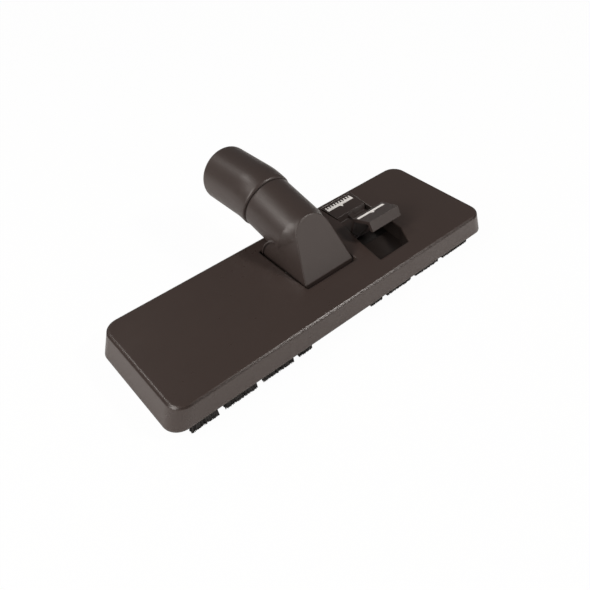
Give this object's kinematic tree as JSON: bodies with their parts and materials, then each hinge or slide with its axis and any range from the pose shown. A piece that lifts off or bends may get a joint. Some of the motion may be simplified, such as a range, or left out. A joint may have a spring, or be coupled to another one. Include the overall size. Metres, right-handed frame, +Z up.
{
  "type": "vacuum floor tool",
  "caption": "Wide flat vacuum floor head with a tilting neck, a swivelling wand collar, a see-saw pedal that raises the bristle strips, and small rear rollers.",
  "frame": {"origin": "middle of the whole part's box in plan, on the floor under the lowered bristles", "axes": "+X along the head to its right, +Y to the rear where the wand leaves, +Z up"},
  "size_m": [0.28, 0.1459, 0.073],
  "materials": {
    "head_plastic": "fine matt texture, near black with a warm brown cast",
    "sole_plastic": "smooth satin black",
    "pedal_plastic": "matt, near black",
    "neck_plastic": "satin, near black with a warm brown cast",
    "roller_plastic": "smooth dark grey",
    "lifter_pile": "short dense pile",
    "bristle_pile": "packed black bristles",
    "seal_rubber": "soft matt black",
    "pin_steel": "drawn steel"
  },
  "bodies": {
    "head": {"top_cover": "head_plastic", "sole_plate": "sole_plastic", "suction_duct": "sole_plastic", "neck_seal": "seal_rubber", "front_thread_lifter": "lifter_pile", "rear_thread_lifter": "lifter_pile", "left_pivot_pin": "pin_steel", "right_pivot_pin": "pin_steel", "pedal_pin": "pin_steel", "left_roller_axle": "pin_steel", "right_roller_axle": "pin_steel", "cover_screws": "pin_steel"},
    "brushes": {"brush_carrier": "sole_plastic", "front_bristles": "bristle_pile", "rear_bristles": "bristle_pile", "left_end_bristles": "bristle_pile", "right_end_bristles": "bristle_pile", "lift_pin": "pin_steel"},
    "pedal": {"pedal": "pedal_plastic"},
    "neck": {"neck": "neck_plastic", "snap_ring": "pin_steel", "swivel_seal": "seal_rubber"},
    "collar": {"collar": "neck_plastic"},
    "left_roller": {"left_roller": "roller_plastic"},
    "right_roller": {"right_roller": "roller_plastic"}
  },
  "joints": [
    {"name": "neck_tilt", "type": "hinge", "parent": "head", "child": "neck", "pos_m": [0.0065, -0.02047, 0.019], "axis": [1, 0, 0], "range_deg": [0, 35]},
    {"name": "collar_swivel", "type": "hinge", "parent": "neck", "child": "collar", "pos_m": [0.0065, -0.02747, 0.039], "axis": [0, 0.9763, 0.2164], "continuous": true},
    {"name": "brush_lift", "type": "slide", "parent": "head", "child": "brushes", "axis": [0, 0, 1], "range_m": [0, 0.00775]},
    {"name": "pedal_rock", "type": "hinge", "parent": "head", "child": "pedal", "pos_m": [0.063, -0.01847, 0.0174], "axis": [1, 0, 0], "range_deg": [0, 21.6]},
    {"name": "left_roller_spin", "type": "hinge", "parent": "head", "child": "left_roller", "pos_m": [-0.098, 0.00253, 0.0125], "axis": [1, 0, 0], "continuous": true},
    {"name": "right_roller_spin", "type": "hinge", "parent": "head", "child": "right_roller", "pos_m": [0.098, 0.00253, 0.0125], "axis": [1, 0, 0], "continuous": true}
  ],
  "couplings": [
    {"joint": "pedal_rock", "follows": "brush_lift", "rad_per_m": 48.419}
  ]
}
